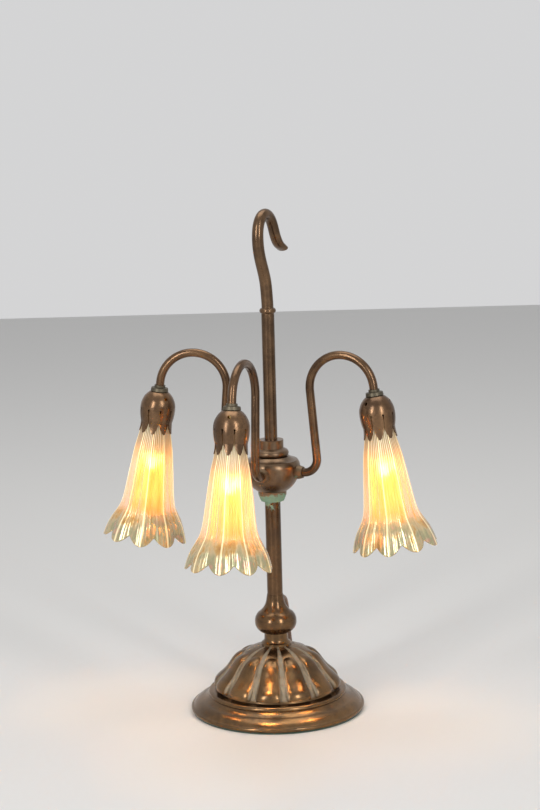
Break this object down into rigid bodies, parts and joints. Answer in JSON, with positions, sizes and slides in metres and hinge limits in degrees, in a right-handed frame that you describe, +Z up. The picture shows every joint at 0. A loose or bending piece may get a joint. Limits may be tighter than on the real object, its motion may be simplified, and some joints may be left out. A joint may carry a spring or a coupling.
{
  "type": "table lamp",
  "caption": "Table lamp of brown bronze: gadrooned round base, slim stem with a hook on top, curved arms each hanging a ribbed gold glass tulip shade mouth down.",
  "frame": {"origin": "centre of the felt's flat underside, on the stem's axis", "axes": "+Z up along the stem and the rod; -Y towards the viewer of the picture, +X to their right"},
  "size_m": [0.316, 0.3391, 0.4826],
  "materials": {
    "arm_bronze": "brown patina, satin",
    "base_bronze": "brown patina, satin",
    "brown_plastic": "moulded",
    "bulb_glass": "clear, lit",
    "cast_iron": "rough cast",
    "copper_wire": "insulated wire",
    "cord_cloth": "woven cloth cover",
    "dark_plastic": "moulded",
    "felt": "felt",
    "hook_bronze": "brown patina, satin",
    "hub_bronze": "brown patina, worn",
    "husk_bronze": "brown patina, satin",
    "lustre_glass": "gold lustre",
    "plain_brass": "bright",
    "porcelain": "glazed",
    "rod_bronze": "brown patina, satin",
    "steel": "plated",
    "stem_bronze": "brown patina, polished",
    "verdigris_bronze": "brown patina with verdigris"
  },
  "bodies": {
    "lamp": {"arm_boss_left": "verdigris_bronze", "arm_boss_middle": "verdigris_bronze", "arm_boss_right": "verdigris_bronze", "arm_left": "arm_bronze", "arm_middle": "arm_bronze", "arm_right": "arm_bronze", "arm_wire_left": "copper_wire", "arm_wire_middle": "copper_wire", "arm_wire_right": "copper_wire", "base_lock_nut": "steel", "base_shell": "base_bronze", "base_washer": "steel", "base_weight": "cast_iron", "bulb_cap_left": "plain_brass", "bulb_cap_middle": "plain_brass", "bulb_cap_right": "plain_brass", "bulb_glass_left": "bulb_glass", "bulb_glass_middle": "bulb_glass", "bulb_glass_right": "bulb_glass", "cord_bushing": "dark_plastic", "cord_coil": "cord_cloth", "cord_lead": "cord_cloth", "cord_link": "cord_cloth", "cord_tail": "cord_cloth", "felt_pad": "felt", "hook": "hook_bronze", "hub_body": "hub_bronze", "hub_cap": "hub_bronze", "hub_cup": "verdigris_bronze", "hub_lock_nut": "steel", "husk_left": "husk_bronze", "husk_middle": "husk_bronze", "husk_nut_left": "verdigris_bronze", "husk_nut_middle": "verdigris_bronze", "husk_nut_right": "verdigris_bronze", "husk_right": "husk_bronze", "lamp_pipe": "steel", "neck_collar": "base_bronze", "plug_blades": "plain_brass", "plug_body": "brown_plastic", "rod_bead": "rod_bronze", "shade_left": "lustre_glass", "shade_middle": "lustre_glass", "shade_right": "lustre_glass", "socket_core_left": "porcelain", "socket_core_middle": "porcelain", "socket_core_right": "porcelain", "socket_shell_left": "plain_brass", "socket_shell_middle": "plain_brass", "socket_shell_right": "plain_brass", "stem_knop": "stem_bronze", "stem_tube": "stem_bronze", "stem_wire": "copper_wire", "switch_body": "brown_plastic", "switch_pin": "steel", "upper_rod": "rod_bronze", "wire_connector": "dark_plastic"},
    "thumbwheel": {"switch_wheel": "dark_plastic"}
  },
  "joints": [
    {"name": "switch_turn", "type": "hinge", "parent": "lamp", "child": "thumbwheel", "pos_m": [-0.015, 0.0972, 0.006], "axis": [0, 0, 1], "continuous": true}
  ]
}
